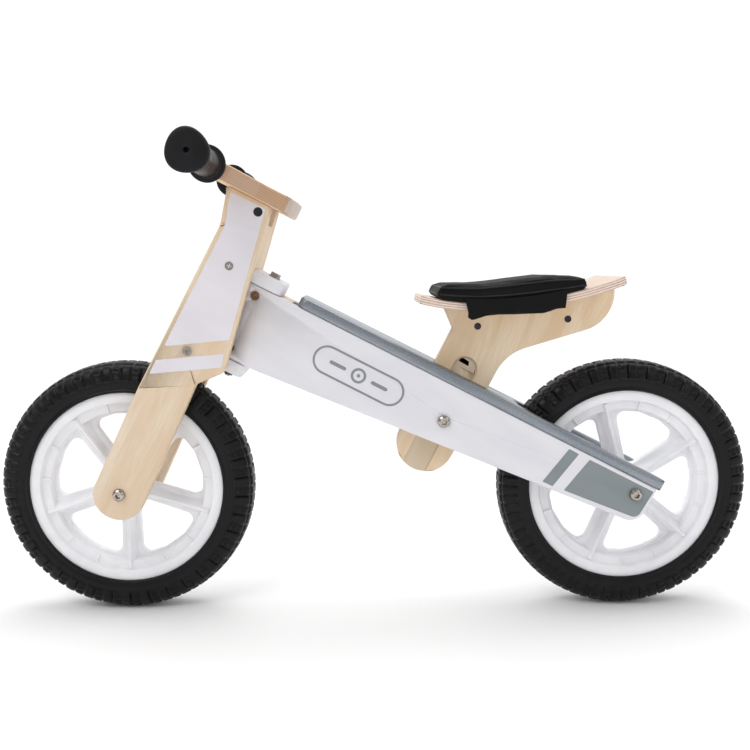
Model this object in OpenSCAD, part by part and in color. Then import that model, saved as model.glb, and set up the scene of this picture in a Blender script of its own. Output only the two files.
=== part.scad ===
// Child's wooden balance bike: two splayed beams, plank fork, moulded wheels, sliding seat.
// The front of the bike is at -X, its left side at -Y. The ground is z = 0, and the origin
// lies on the ground half way between the wheels.

/* [Wheels] */
// Distance between the two axles
wheelbase = 572; // [565:1:580]
// Outer radius of a tyre
tyre_r = 145; // [143:0.5:146]
// Width of a tyre
tyre_w = 48; // [44:1:50]
// Radius where the tyre lip meets the rim
rim_r = 108; // [106:0.5:110]
// Radius of the outer edge of the five rim windows
window_r = 85; // [76:1:86]
// Half the width of a rim spoke at its outer end
spoke_half = 12; // [9:0.5:15]
// Width of the wheel hub
hub_w = 60; // [56:1:64]

/* [Head and steering] */
// Lean of the steering axis from the vertical, also the slope of the beams
lean = 27; // [26.5:0.1:27.5]
// Position of the steering axis along the slope
steer_t = -276.6; // [-277:0.1:-276]
// Diameter of the steering bolt
steer_bolt_d = 6; // [5:0.5:8]

/* [Frame] */
// Half width over the beams at their front end
beam_front_half = 33; // [31:0.5:33.5]
// Half width over the beams at their rear end
beam_rear_half = 63; // [60:0.5:66]
// Thickness of the beam plywood
beam_thick = 14; // [12:0.5:15]
// Height of the beams at the head, across the slope
beam_head_h = 86.2; // [84:0.1:86.4]
// Thickness of the silver top board
board_thick = 12; // [10:0.5:13]

/* [Fork and handlebar] */
// Half width over the fork legs
leg_half = 50; // [49:0.5:52]
// Thickness of a fork leg
leg_thick = 13; // [12:0.5:13]
// Radius of the rounded lower end of a leg
leg_end_r = 29; // [27:0.5:31]
// Thickness of the handlebar board
bar_thick = 18; // [16:0.5:18]
// Half length of the handlebar over the grips
bar_half = 191; // [180:1:200]
// Radius of the grip flange
flange_r = 19.2; // [17:0.2:20]
// Radius of the grip knob
knob_r = 21.3; // [20:0.1:23]

/* [Seat] */
// Width of the seat post across the slope
post_w = 66.8; // [64:0.2:68]
// Thickness of the seat post
post_thick = 18; // [17:0.5:18]
// Half width of the seat board
seat_half = 60; // [56:1:64]
// Thickness of the bent seat board
seat_thick = 9; // [8:0.5:10]
// Seat travel upward from its drawn position
seat_up = 20; // [5:1:20]
// Seat travel downward from its drawn position
seat_down = 25; // [5:1:25]

/* [Hidden] */
$fn = 64;
fit = 0.05;
gap = 0.3;
front_x = -wheelbase / 2;
rear_x = wheelbase / 2;
axle_z = 145;
axle_r = 4;
bearing_r = 11;
bearing_w = 7;
head_r = 7;
head_h = 4.5;
// Levels across the slope, measured from the origin along the steering axis direction
beam_top = 274.7;
beam_low = beam_top - beam_head_h;
bracket_thick = 14;
upper_low = beam_top + 0.6;
upper_top = upper_low + bracket_thick;
lower_top = beam_low - 0.6;
lower_low = lower_top - bracket_thick;
bar_low = 357.7;
bar_top = bar_low + bar_thick;
// Places along the slope
beam_front_t = -299;
beam_rear_t = 208;
board_front_t = -238;
board_rear_t = 212;
bracket_rear_t = steer_t + 17.8;
block_front_t = -347;
block_rear_t = -316;
grip_t = -381;
post_t = -36.5;
clamp_n = 234.7;
// The beams spread by a constant slope between these two stations
splay_x0 = -140;
splay_x1 = 320;
splay = (beam_rear_half - beam_front_half) / (splay_x1 - splay_x0);
leg_in = leg_half - leg_thick;
bush_r = 6;
dowel_r = 4;
dowel_ts = [-205, -110, 120];
seat_low = 347.5;
seat_mid_x = 115;
seat_front_r = 295;
seat_rear_r = 430;
seat_front_x = 46;
seat_rear_x = 271;
dowel_front = [115.5, 328.2];
dowel_rear = [218.3, 336.1];
seat_screw_r = 2.5;
groove_w = 28.4;
groove_depth = 3;
guide_half = groove_w / 2 - gap;
rod_r = 6;
bar_bolt_t = -318.6;
bar_bolt_n = 346.8;
bar_bolt_y = leg_half - leg_thick / 2;
leg_screws = [[-158.5, 396.6], [-206.2, 305.1]];
head_screws = [[-284.3, 263.7], [-284.3, 200]];

// ---- Outline helpers ----

// Half width over the beams' outer faces at station x
function beam_half(x) = beam_front_half + (x - splay_x0) * splay;
// World x and z of a point given along the slope and across it
function slope_x(t, n) = t * cos(lean) + n * sin(lean);
function slope_z(t, n) = n * cos(lean) - t * sin(lean);
function slope_point(t, n) = [slope_x(t, n), slope_z(t, n)];

function unit(v) = v / norm(v);
function xy(p) = [p[0], p[1]];
// Points of an arc about centre c from angle a0 to a1
function arc(c, r, a0, a1, steps = 12) =
  [for (i = [0 : steps]) let (a = a0 + (a1 - a0) * i / steps) c + r * [cos(a), sin(a)]];
// One corner b between a and c, rounded with radius r
function corner(a, b, c, r, steps) =
  let (
    u = unit(a - b),
    v = unit(c - b),
    half = acos(u * v) / 2,
    centre = b + unit(u + v) * r / sin(half),
    p = b + u * r / tan(half) - centre,
    q = b + v * r / tan(half) - centre,
    a0 = atan2(p[1], p[0]),
    turn = atan2(p[0] * q[1] - p[1] * q[0], p * q)
  )
  arc(centre, r, a0, a0 + turn, steps);
// Closed outline from corners [x, y, radius]
function rounded(pts, steps = 8) =
  [for (i = [0 : len(pts) - 1])
    let (a = pts[(i + len(pts) - 1) % len(pts)], b = pts[i], c = pts[(i + 1) % len(pts)])
    each (b[2] > 0 ? corner(xy(a), xy(b), xy(c), b[2], steps) : [xy(b)])];

// ---- Shape helpers ----

// Prism across the bike from an outline in x and z, between y0 and y1
module side_prism(points, y0, y1) {
  translate([0, y1, 0]) rotate([90, 0, 0]) linear_extrude(y1 - y0) polygon(points);
}

// Children given in slope directions: x along the slope, z along the steering axis
module on_slope() {
  rotate([0, lean, 0]) children();
}

// Round bar across the bike at x, z
module cross_bar(x, z, r, y0, y1) {
  translate([x, y1, z]) rotate([90, 0, 0]) cylinder(r = r, h = y1 - y0);
}

// Round bar across the bike at a place on the slope
module slope_bar(t, n, r, y0, y1) {
  cross_bar(slope_x(t, n), slope_z(t, n), r, y0, y1);
}

// Round bar along the steering axis direction, between levels n0 and n1
module lean_bar(t, y, r, n0, n1) {
  on_slope() translate([t, y, n0]) cylinder(r = r, h = n1 - n0);
}

// The same shape on the left and on the right
module both_sides() {
  children();
  mirror([0, 1, 0]) children();
}

// Furniture bolt with a low domed head and a hexagonal socket, its shank along +y from y0
module dome_bolt(x, z, y0, length, shank_r) {
  translate([x, y0, z]) rotate([-90, 0, 0]) difference() {
    union() {
      cylinder(r = shank_r, h = length);
      translate([0, 0, -head_h]) rotate_extrude() polygon([
        [0, 0], [head_r - 2.4, 0], [head_r - 0.8, 1], [head_r, 2.6], [head_r, head_h], [0, head_h]
      ]);
    }
    translate([0, 0, -head_h - 1]) cylinder(d = 7.2, h = 4, $fn = 6);
  }
}

// Sleeve nut that meets the bolt from the other side, its head outside y1
module dome_nut(x, z, y1, depth, bore_r) {
  translate([x, y1, z]) rotate([90, 0, 0]) difference() {
    union() {
      translate([0, 0, -head_h]) rotate_extrude() polygon([
        [0, 0], [head_r - 2.4, 0], [head_r - 0.8, 1], [head_r, 2.6], [head_r, head_h], [0, head_h]
      ]);
      cylinder(r = bore_r + 1.5, h = depth);
    }
    translate([0, 0, 0.5]) cylinder(r = bore_r, h = depth);
    translate([0, 0, -head_h - 1]) cylinder(d = 7.2, h = 4, $fn = 6);
  }
}

// ---- Beams, head and top board ----

beam_outline = concat(
  [slope_point(beam_front_t, beam_low), slope_point(-257, beam_low)],
  let (
    low = slope_point(-257, beam_low),
    heel = slope_point(beam_rear_t, beam_low + 41.4),
    top = slope_point(beam_rear_t, beam_top)
  )
  corner(low, heel, top, 17, 8),
  [slope_point(beam_rear_t, beam_top), slope_point(beam_front_t, beam_top)]
);

// Plan of one beam plank on the left, with its front vertical edge rounded
module beam_plan() {
  far_x = 340;
  near_x = -200;
  polygon([
    [near_x, -beam_half(near_x)], [far_x, -beam_half(far_x)],
    [far_x, -beam_half(far_x) + beam_thick], [near_x, -beam_half(near_x) + beam_thick]
  ]);
}

// Everything nearer the steering axis than a beam end may reach while it turns
module head_sweep() {
  on_slope() translate([0, 0, beam_low - 1]) linear_extrude(beam_head_h + 2) polygon(rounded([
    [beam_front_t, -33.5, 10], [300, -90, 0], [300, 90, 0], [beam_front_t, 33.5, 10]
  ]));
}

module beam_left() {
  color([0.84, 0.83, 0.86]) difference() {
    intersection() {
      side_prism(beam_outline, -90, 0);
      linear_extrude(500) beam_plan();
      head_sweep();
    }
    cross_bar(rear_x, axle_z, axle_r + 1.5, -90, 0);
    slope_bar(post_t, clamp_n, axle_r + 1.5, -90, 0);
    for (s = head_screws) slope_bar(s[0], s[1], 2.5, -90, 0);
    for (s = head_screws) slope_bar(s[0], s[1], 5, -90, -beam_head_face(s) + 2.5);
    for (t = dowel_ts) lean_bar(t, -dowel_y(t), dowel_r, beam_top - 18, beam_top + 1);
  }
}

module beam_right() {
  mirror([0, 1, 0]) beam_left();
}

// Beam face at a head screw, and the middle of the beam's thickness at a dowel
function beam_head_face(s) = beam_half(slope_x(s[0], s[1]));
function dowel_y(t) = beam_half(slope_x(t, beam_top)) - beam_thick / 2;

module head_block() {
  color([0.86, 0.75, 0.62]) difference() {
    intersection() {
      on_slope() translate([beam_front_t + 4, -40, beam_low + 0.2])
        cube([50, 80, beam_head_h - 0.4]);
      linear_extrude(500) polygon([
        [-200, -beam_half(-200) + beam_thick], [0, -beam_half(0) + beam_thick],
        [0, beam_half(0) - beam_thick], [-200, beam_half(-200) - beam_thick]
      ]);
    }
    lean_bar(steer_t, 0, bush_r, beam_low - 1, beam_top + 1);
    both_sides() for (s = head_screws)
      slope_bar(s[0], s[1], 2.5, -beam_head_face(s), -head_screw_end);
  }
}

head_screw_end = 9;
// Four short connector screws that hold the beams to the head block
module head_screws() {
  color([0.55, 0.45, 0.36]) both_sides() for (s = head_screws) difference() {
    union() {
      slope_bar(s[0], s[1], 2.5, -beam_head_face(s) + 2.5, -head_screw_end);
      slope_bar(s[0], s[1], 4.9, -beam_head_face(s) - 0.8, -beam_head_face(s) + 2.5);
    }
    translate([slope_x(s[0], s[1]), -beam_head_face(s), slope_z(s[0], s[1])])
      rotate([90, 0, 0]) translate([0, 0, -1.4]) cylinder(d = 4.6, h = 6, $fn = 6);
  }
}

// Two nylon bushes in the ends of the head block bore
module head_bushes() {
  color([0.9, 0.9, 0.88]) for (n = [beam_low - 0.2, beam_top - 19.8]) difference() {
    lean_bar(steer_t, 0, bush_r, n, n + 20);
    lean_bar(steer_t, 0, steer_bolt_d / 2 + fit, n - 1, n + 21);
  }
}

board_mid = beam_top + board_thick / 2;
function board_half(t) = beam_half(slope_x(t, board_mid));
notch_front_t = 38;
prong_w = 20;

// Board along both beams, slotted for the seat post and forked round the rear wheel
module top_board() {
  color([0.6, 0.62, 0.65]) difference() {
    on_slope() translate([0, 0, beam_top]) linear_extrude(board_thick) difference() {
      polygon(rounded([
        [board_front_t, -board_half(board_front_t), 9], [board_rear_t, -board_half(board_rear_t), 4],
        [board_rear_t, board_half(board_rear_t), 4], [board_front_t, board_half(board_front_t), 9]
      ]));
      translate([post_t - post_w / 2 - 0.8, -post_thick / 2 - 0.6])
        square([post_w + 1.6, post_thick + 1.2]);
      polygon(rounded([
        [notch_front_t, -board_half(notch_front_t) + prong_w, 15],
        [board_rear_t + 5, -board_half(board_rear_t + 5) + prong_w, 0],
        [board_rear_t + 5, board_half(board_rear_t + 5) - prong_w, 0],
        [notch_front_t, board_half(notch_front_t) - prong_w, 15]
      ]));
    }
    both_sides() for (t = dowel_ts)
      lean_bar(t, -dowel_y(t), dowel_r, beam_top - 1, beam_top + board_thick - 3);
  }
}

module board_dowels() {
  color([0.85, 0.72, 0.55]) both_sides() for (t = dowel_ts)
    lean_bar(t, -dowel_y(t), dowel_r, beam_top - 18, beam_top + board_thick - 3);
}

// Block between one beam and the seat post, with a tongue that runs in the post's groove
module guide_block_left() {
  color([0.86, 0.75, 0.62]) difference() {
    union() {
      intersection() {
        on_slope() translate([post_t - 20, -60, clamp_n - 21])
          cube([40, 60 - post_thick / 2 - gap, 46]);
        linear_extrude(500) polygon([
          [0, -beam_half(0) + beam_thick], [150, -beam_half(150) + beam_thick],
          [150, 0], [0, 0]
        ]);
      }
      on_slope() translate([post_t - guide_half, -post_thick / 2 - gap - 0.1, clamp_n - 21])
        cube([2 * guide_half, groove_depth + 0.1, 46]);
    }
    slope_bar(post_t, clamp_n, axle_r + 0.1, -90, 0);
  }
}

module guide_block_right() {
  mirror([0, 1, 0]) guide_block_left();
}

clamp_x = slope_x(post_t, clamp_n);
clamp_z = slope_z(post_t, clamp_n);
clamp_face = beam_half(clamp_x) + head_r * splay;
module seat_clamp_bolt() {
  color([0.78, 0.76, 0.74]) dome_bolt(clamp_x, clamp_z, -clamp_face, 2 * clamp_face - 3, axle_r);
}

module seat_clamp_nut() {
  color([0.78, 0.76, 0.74]) dome_nut(clamp_x, clamp_z, clamp_face, 12, axle_r);
}

rear_face = beam_half(rear_x) + head_r * splay;
module rear_axle_bolt() {
  color([0.78, 0.76, 0.74]) dome_bolt(rear_x, axle_z, -rear_face, 2 * rear_face - 3, axle_r);
}

module rear_axle_nut() {
  color([0.78, 0.76, 0.74]) dome_nut(rear_x, axle_z, rear_face, 12, axle_r);
}

// Distance sleeves beside a hub, reaching from the bearing to y = reach
module spacers(x, reach) {
  both_sides() difference() {
    cross_bar(x, axle_z, 7.5, -reach, -hub_w / 2 - gap);
    cross_bar(x, axle_z, axle_r + fit, -reach - 1, 0);
  }
}

module rear_spacers() {
  color([0.3, 0.3, 0.32]) spacers(rear_x, beam_half(rear_x) - beam_thick - 7.5 * splay);
}

// ---- Fork ----

// Outline of a leg: straight rear edge, rounded heel, slim lower part round the axle
leg_angle = 64.65;
leg_up = [cos(leg_angle), sin(leg_angle)];
leg_side = [-sin(leg_angle), cos(leg_angle)];
function leg_foot(side) = [front_x, axle_z] + leg_end_r * (side * leg_side - leg_up);
leg_outline = rounded([
  concat(slope_point(-360, bar_low), 3), [-167.3, 440, 40], [-261.5, 264, 60],
  concat(leg_foot(1), leg_end_r - 1), concat(leg_foot(-1), leg_end_r - 1),
  [-197.4, 268.3, 6], [-166.6, 281, 10], concat(slope_point(-309, bar_low), 3)
], 8);

module fork_leg_left() {
  color([0.86, 0.78, 0.68]) difference() {
    side_prism(leg_outline, -leg_half, -leg_in);
    cross_bar(front_x, axle_z, axle_r + 1.5, -90, 0);
    slope_bar(bar_bolt_t, bar_bolt_n, 5, -90, 0);
    lean_bar(bar_bolt_t, -bar_bolt_y, 3, bar_bolt_n + 1, bar_low + 1);
    for (s = leg_screws) cross_bar(s[0], s[1], 2.5, -90, 0);
    for (s = leg_screws) cross_bar(s[0], s[1], 4.6, -90, -leg_half + 2.4);
  }
}

module fork_leg_right() {
  mirror([0, 1, 0]) fork_leg_left();
}

// A block between the legs with outline points [t, n]
module fork_block(points) {
  side_prism([for (p = points) slope_point(p[0], p[1])], -leg_in, leg_in);
}

rear_edge_top_t = -309.4;
rear_edge_low_t = -297.2;
module fork_block_upper() {
  color([0.87, 0.76, 0.6]) difference() {
    fork_block([
      [block_front_t, upper_top], [rear_edge_low_t, upper_top], [rear_edge_top_t, bar_low],
      [block_front_t, bar_low]
    ]);
    // Shallow pocket at the top of the rear face
    on_slope() translate([rear_edge_top_t, 0, bar_low - 7]) cube([12, 40, 24], center = true);
  }
}

module fork_block_middle() {
  color([0.87, 0.76, 0.6]) fork_block([
    [block_front_t, lower_top], [block_rear_t, lower_top], [block_rear_t, upper_low],
    [block_front_t, upper_low]
  ]);
}

module fork_block_lower() {
  color([0.87, 0.76, 0.6]) fork_block([
    [block_front_t, 153], [-296, 153], [-287, lower_low], [block_front_t, lower_low]
  ]);
}

bracket_half = 34;
// Plate of the head, from the fork blocks back past the steering bolt
module bracket(n0) {
  difference() {
    on_slope() translate([0, 0, n0]) linear_extrude(bracket_thick) polygon(rounded([
      [block_front_t, -leg_in, 0], [-300, -leg_in, 0], [-300, -bracket_half, 0],
      [bracket_rear_t, -bracket_half, 9], [bracket_rear_t, bracket_half, 9],
      [-300, bracket_half, 0], [-300, leg_in, 0], [block_front_t, leg_in, 0]
    ]));
    lean_bar(steer_t, 0, steer_bolt_d / 2, n0 - 1, n0 + bracket_thick + 1);
    both_sides() for (s = leg_screws) cross_bar(s[0], s[1], 2.5, -leg_in - 1, -leg_in + 22);
  }
}

module upper_bracket() {
  color([0.84, 0.83, 0.86]) bracket(upper_low);
}

module lower_bracket() {
  color([0.84, 0.83, 0.86]) bracket(lower_low);
}

washer_h = 1.2;
module steering_bolt() {
  color([0.7, 0.66, 0.6]) {
    lean_bar(steer_t, 0, steer_bolt_d / 2, lower_low - 9, upper_top + washer_h + 1);
    on_slope() translate([steer_t, 0, upper_top + washer_h])
      cylinder(d = 11.5, h = 4.2, $fn = 6);
  }
}

module steering_nut() {
  color([0.14, 0.14, 0.15]) on_slope() difference() {
    translate([steer_t, 0, lower_low - washer_h - 6]) cylinder(d = 11.5, h = 6, $fn = 6);
    translate([steer_t, 0, lower_low - 12]) cylinder(d = steer_bolt_d, h = 12);
  }
}

module steering_washers() {
  color([0.7, 0.66, 0.6]) for (n = [upper_top, lower_low - washer_h]) difference() {
    lean_bar(steer_t, 0, 7, n, n + washer_h);
    lean_bar(steer_t, 0, steer_bolt_d / 2, n - 1, n + washer_h + 1);
  }
}

// Two steel screws a side, heads sunk in the legs
module fork_screws() {
  color([0.62, 0.6, 0.58]) both_sides() for (s = leg_screws) difference() {
    union() {
      cross_bar(s[0], s[1], 2.5, -leg_half + 2.4, -leg_in + 22);
      cross_bar(s[0], s[1], 4.6, -leg_half - 0.6, -leg_half + 2.4);
    }
    for (a = [0, 90]) translate([s[0], -leg_half - 0.6, s[1]])
      rotate([0, a + 20, 0]) cube([5.2, 3.6, 1.1], center = true);
  }
}

// ---- Handlebar ----

bar_mid = bar_low + bar_thick / 2;
// Half of the board's plan, from the front centre round to the rear centre
bar_plan = rounded([
  [grip_t - 15, -84, 5], [grip_t + 19, -84, 16], [-322, -57, 30],
  [-290, -52, 13], [-285, -20, 60], [-285, 20, 60], [-290, 52, 13],
  [-322, 57, 30], [grip_t + 19, 84, 16], [grip_t - 15, 84, 5]
]);

module handlebar_board() {
  color([0.72, 0.6, 0.5]) difference() {
    on_slope() translate([0, 0, bar_low]) linear_extrude(bar_thick) polygon(bar_plan);
    slope_bar(grip_t, bar_mid, rod_r, -100, 100);
    both_sides() lean_bar(bar_bolt_t, -bar_bolt_y, 3, bar_low - 1, bar_top + 1);
    both_sides() lean_bar(bar_bolt_t, -bar_bolt_y, 6, bar_top - 4, bar_top + 1);
  }
}

module handlebar_rod() {
  color([0.7, 0.7, 0.72]) slope_bar(grip_t, bar_mid, rod_r, -bar_half + 14, bar_half - 14);
}

// Two bolts sunk in the board, down into the barrel nuts of the legs
module handlebar_bolts() {
  color([0.2, 0.2, 0.21]) both_sides() difference() {
    union() {
      lean_bar(bar_bolt_t, -bar_bolt_y, 3, bar_bolt_n + 1, bar_top - 2);
      lean_bar(bar_bolt_t, -bar_bolt_y, 6, bar_top - 4, bar_top - 0.4);
    }
    on_slope() translate([bar_bolt_t, -bar_bolt_y, bar_top - 3]) cylinder(d = 4.6, h = 4, $fn = 6);
  }
}

module handlebar_nuts() {
  color([0.14, 0.14, 0.15]) both_sides() difference() {
    slope_bar(bar_bolt_t, bar_bolt_n, 4.95, -leg_half - 0.3, -leg_in - 0.5);
    lean_bar(bar_bolt_t, -bar_bolt_y, 3, bar_bolt_n + 1, bar_bolt_n + 12);
    translate([slope_x(bar_bolt_t, bar_bolt_n), -leg_half + 1.2, slope_z(bar_bolt_t, bar_bolt_n)])
      rotate([90, 0, 0]) cylinder(d = 4.6, h = 4, $fn = 6);
  }
}

grip_start = 84.4;
// Rubber grip: flange against the board, tube, and a rounded knob that guards the hand
module grip_left() {
  color([0.13, 0.13, 0.14])
    translate([slope_x(grip_t, bar_mid), -grip_start, slope_z(grip_t, bar_mid)])
    rotate([90, 0, 0]) rotate_extrude() polygon(concat(
      [[rod_r, 0], [flange_r - 1, 0], [flange_r, 1.2], [flange_r, 3.6], [flange_r - 1, 4.8]],
      [[14.6, 5.6], [14, 8], [14, knob_start - 6], [15, knob_start - 2.4]],
      arc([knob_r - 9, knob_end - 9], 9, -50, 90, 12),
      [[1.6, knob_end], [1.6, knob_end - 5], [rod_r, knob_end - 5]]
    ));
}
knob_end = bar_half - grip_start;
knob_start = knob_end - 19;

module grip_right() {
  mirror([0, 1, 0]) grip_left();
}

// ---- Front axle ----

module front_axle_bolt() {
  color([0.78, 0.76, 0.74]) dome_bolt(front_x, axle_z, -leg_half, 2 * leg_half - 3, axle_r);
}

module front_axle_nut() {
  color([0.78, 0.76, 0.74]) dome_nut(front_x, axle_z, leg_half, 12, axle_r);
}

module front_spacers() {
  color([0.3, 0.3, 0.32]) spacers(front_x, leg_in);
}

// ---- Wheels, drawn about their own axle and then placed ----

// Half of the tyre section from the lip to the tread, as [radius, width]
tyre_side = [
  [rim_r, 19.1], [rim_r, 21.6], [rim_r + 4, tyre_w / 2 - 0.9], [rim_r + 12, tyre_w / 2],
  [tyre_r - 20, tyre_w / 2], [tyre_r - 11, tyre_w / 2 - 1.5], [tyre_r - 5, tyre_w / 2 - 5],
  [tyre_r - 1.5, tyre_w / 2 - 10], [tyre_r - 0.3, tyre_w / 2 - 16]
];

module tyre() {
  rotate_extrude($fn = 96) polygon(concat(
    [for (p = tyre_side) [p[0], -p[1]]],
    [for (i = [len(tyre_side) - 1 : -1 : 0]) tyre_side[i]],
    [[rim_r + 2.5, 19.1], [rim_r + 2.5, -19.1]]
  ));
}

// Half of the rim section from the hub out, as [radius, width]
rim_side = [
  [20, hub_w / 2], [21.5, hub_w / 2 - 4], [24, 5], [87, 5], [88, 13.5], [97.5, 13.5],
  [98.5, 19], [rim_r + 2.5, 19]
];

// Corners of one window between two spokes, centred on the x axis
module window() {
  tip = (spoke_half - 1.5) / sin(36);
  side_angle = 36 - asin(spoke_half / window_r);
  linear_extrude(80, center = true) polygon(rounded([
    [tip, 0, 9],
    [window_r * cos(side_angle), -window_r * sin(side_angle), 9],
    [window_r * cos(side_angle / 3), -window_r * sin(side_angle / 3), 0],
    [window_r * cos(side_angle / 3), window_r * sin(side_angle / 3), 0],
    [window_r * cos(side_angle), window_r * sin(side_angle), 9]
  ], 6));
}

module rim(first_spoke) {
  rotate([0, 0, first_spoke]) difference() {
    rotate_extrude($fn = 96) polygon(concat(
      [for (i = [len(rim_side) - 1 : -1 : 0]) [rim_side[i][0], -rim_side[i][1]]],
      [[axle_r + 2, -hub_w / 2], [axle_r + 2, hub_w / 2]],
      rim_side
    ));
    for (k = [0 : 4]) rotate([0, 0, 36 + 72 * k]) window();
    for (m = [0, 1]) mirror([0, 0, m]) translate([0, 0, hub_w / 2 - bearing_w])
      cylinder(r = bearing_r, h = bearing_w + 1);
  }
}

module bearings() {
  for (m = [0, 1]) mirror([0, 0, m]) translate([0, 0, hub_w / 2 - bearing_w]) difference() {
    cylinder(r = bearing_r, h = bearing_w);
    translate([0, 0, -1]) cylinder(r = axle_r + fit, h = bearing_w + 2);
  }
}

// Wheel parts are drawn flat and stood up with their axis across the bike
module on_axle(x) {
  translate([x, 0, axle_z]) rotate([90, 0, 0]) children();
}

module front_tyre() {
  color([0.12, 0.12, 0.13]) on_axle(front_x) tyre();
}

module front_rim() {
  color([0.92, 0.92, 0.93]) on_axle(front_x) rim(-90);
}

module front_bearings() {
  color([0.75, 0.76, 0.78]) on_axle(front_x) bearings();
}

module rear_tyre() {
  color([0.12, 0.12, 0.13]) on_axle(rear_x) tyre();
}

module rear_rim() {
  color([0.92, 0.92, 0.93]) on_axle(rear_x) rim(-112);
}

module rear_bearings() {
  color([0.75, 0.76, 0.78]) on_axle(rear_x) bearings();
}

// ---- Seat ----

// Curve of the seat board at a height above its underside, from x0 to x1
function bend_angle(x, r) = asin((x - seat_mid_x) / r);
function front_bend(x0, up) = arc(
  [seat_mid_x, seat_low + seat_front_r], seat_front_r - up,
  -90 + bend_angle(x0, seat_front_r), -90, 8
);
function rear_bend(x1, up) = arc(
  [seat_mid_x, seat_low + seat_rear_r], seat_rear_r - up,
  -90, -90 + bend_angle(x1, seat_rear_r), 12
);
function bend(x0, x1, up) = concat(front_bend(x0, up), [for (p = rear_bend(x1, up)) if (p[0] > seat_mid_x + 1) p]);
function reversed(list) = [for (i = [len(list) - 1 : -1 : 0]) list[i]];

post_end_n = 197.5;
post_half = post_w / 2;
post_outline = concat(
  [for (p = arc([post_t, post_end_n], post_half, -180, 0, 24)) slope_point(p[0], p[1])],
  corner(slope_point(post_t + post_half, post_end_n), [148.4, 296.6], [272, 333], 56, 12),
  corner([148.4, 296.6], [271, 333], [271, 376], 44, 12),
  reversed(bend(77, seat_rear_x, 0)),
  [slope_point(post_t - post_half, 330)]
);

module seat_post() {
  color([0.87, 0.76, 0.62]) difference() {
    side_prism(post_outline, -post_thick / 2, post_thick / 2);
    // Milled guide groove on each face, open at the lower end
    both_sides() on_slope() translate([post_t, -post_thick / 2 - 1, 0]) {
      translate([0, 0, 294.5]) rotate([-90, 0, 0])
        cylinder(r = groove_w / 2, h = groove_depth + 1);
      translate([-groove_w / 2, 0, 150]) cube([groove_w, groove_depth + 1, 144.5]);
    }
    // Slot for the clamp bolt
    slope_bar(post_t, clamp_n - seat_up, axle_r + gap, -20, 20);
    slope_bar(post_t, clamp_n + seat_down, axle_r + gap, -20, 20);
    on_slope() translate([post_t - axle_r - gap, -20, clamp_n - seat_up])
      cube([2 * axle_r + 2 * gap, 40, seat_up + seat_down]);
    for (d = [dowel_front, dowel_rear]) {
      cross_bar(d[0], d[1], 4, -20, 20);
      translate([d[0], 0, d[1]]) cylinder(r = seat_screw_r, h = 40);
    }
  }
}

module seat_board() {
  color([0.85, 0.75, 0.66]) difference() {
    intersection() {
      side_prism(concat(
        bend(seat_front_x, seat_rear_x, 0), reversed(bend(seat_front_x, seat_rear_x, seat_thick))
      ), -seat_half - 5, seat_half + 5);
      linear_extrude(500) polygon(rounded([
        [seat_front_x - 3, -seat_half + 6, 14], [seat_rear_x + 3, -seat_half, 14],
        [seat_rear_x + 3, seat_half, 14], [seat_front_x - 3, seat_half - 6, 14]
      ]));
    }
    for (d = [dowel_front, dowel_rear]) {
      translate([d[0], 0, d[1]]) cylinder(r = seat_screw_r, h = 60);
      translate([d[0], 0, seat_top(d[0]) - 5]) cylinder(r = 6, h = 20);
    }
  }
}
// Height of the top of the bent seat board
function seat_top(x) =
  let (r = x < seat_mid_x ? seat_front_r : seat_rear_r)
  seat_low + r - sqrt(pow(r - seat_thick, 2) - pow(x - seat_mid_x, 2));

module seat_barrel_nuts() {
  color([0.14, 0.14, 0.15]) for (d = [dowel_front, dowel_rear]) difference() {
    cross_bar(d[0], d[1], 3.95, -post_thick / 2 - 0.3, post_thick / 2 + 0.3);
    translate([d[0], 0, d[1]]) cylinder(r = seat_screw_r, h = 20);
    translate([d[0], -post_thick / 2 + 1.4, d[1]]) rotate([90, 0, 0])
      cylinder(d = 4, h = 4, $fn = 6);
  }
}

module seat_screws() {
  color([0.62, 0.6, 0.58]) for (d = [dowel_front, dowel_rear]) difference() {
    union() {
      translate([d[0], 0, d[1]]) cylinder(r = seat_screw_r, h = seat_top(d[0]) - 3 - d[1]);
      translate([d[0], 0, seat_top(d[0]) - 5]) cylinder(r = 5.9, h = 2.6);
    }
    translate([d[0], 0, seat_top(d[0]) - 4]) cylinder(d = 4.6, h = 4, $fn = 6);
  }
}

// Padded seat cover on the board, thicker toward the rear
module seat_cushion() {
  color([0.09, 0.09, 0.1]) side_prism(concat(
    bend(58, 224, seat_thick + gap),
    rounded([[228, 373, 0], [228, 385, 7], [186, 385.4, 60], [112, 376.4, 60], [54, 376.6, 7], [54, 365.4, 0]])
  ), -61, 61);
}

skirt_thick = 1.8;
// Side flaps of the cover, down over the edges of the seat board
module seat_skirts() {
  color([0.09, 0.09, 0.1]) both_sides() side_prism(concat(
    [[94.5, 357], [97.5, 343], [103, 339]],
    [[118, 344], [184, 345.5], [194, 350], [203, 351]],
    [[204, 364]],
    reversed(bend(99, 198, seat_thick))
  ), -seat_half - gap - skirt_thick, -seat_half - gap);
}

beam_left();
beam_right();
head_block();
head_screws();
head_bushes();
top_board();
board_dowels();
guide_block_left();
guide_block_right();
seat_clamp_bolt();
seat_clamp_nut();
rear_axle_bolt();
rear_axle_nut();
rear_spacers();
fork_leg_left();
fork_leg_right();
fork_block_upper();
fork_block_middle();
fork_block_lower();
upper_bracket();
lower_bracket();
steering_bolt();
steering_nut();
steering_washers();
fork_screws();
handlebar_board();
handlebar_rod();
handlebar_bolts();
handlebar_nuts();
grip_left();
grip_right();
front_axle_bolt();
front_axle_nut();
front_spacers();
front_tyre();
front_rim();
front_bearings();
rear_tyre();
rear_rim();
rear_bearings();
seat_post();
seat_board();
seat_barrel_nuts();
seat_screws();
seat_cushion();
seat_skirts();
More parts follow.
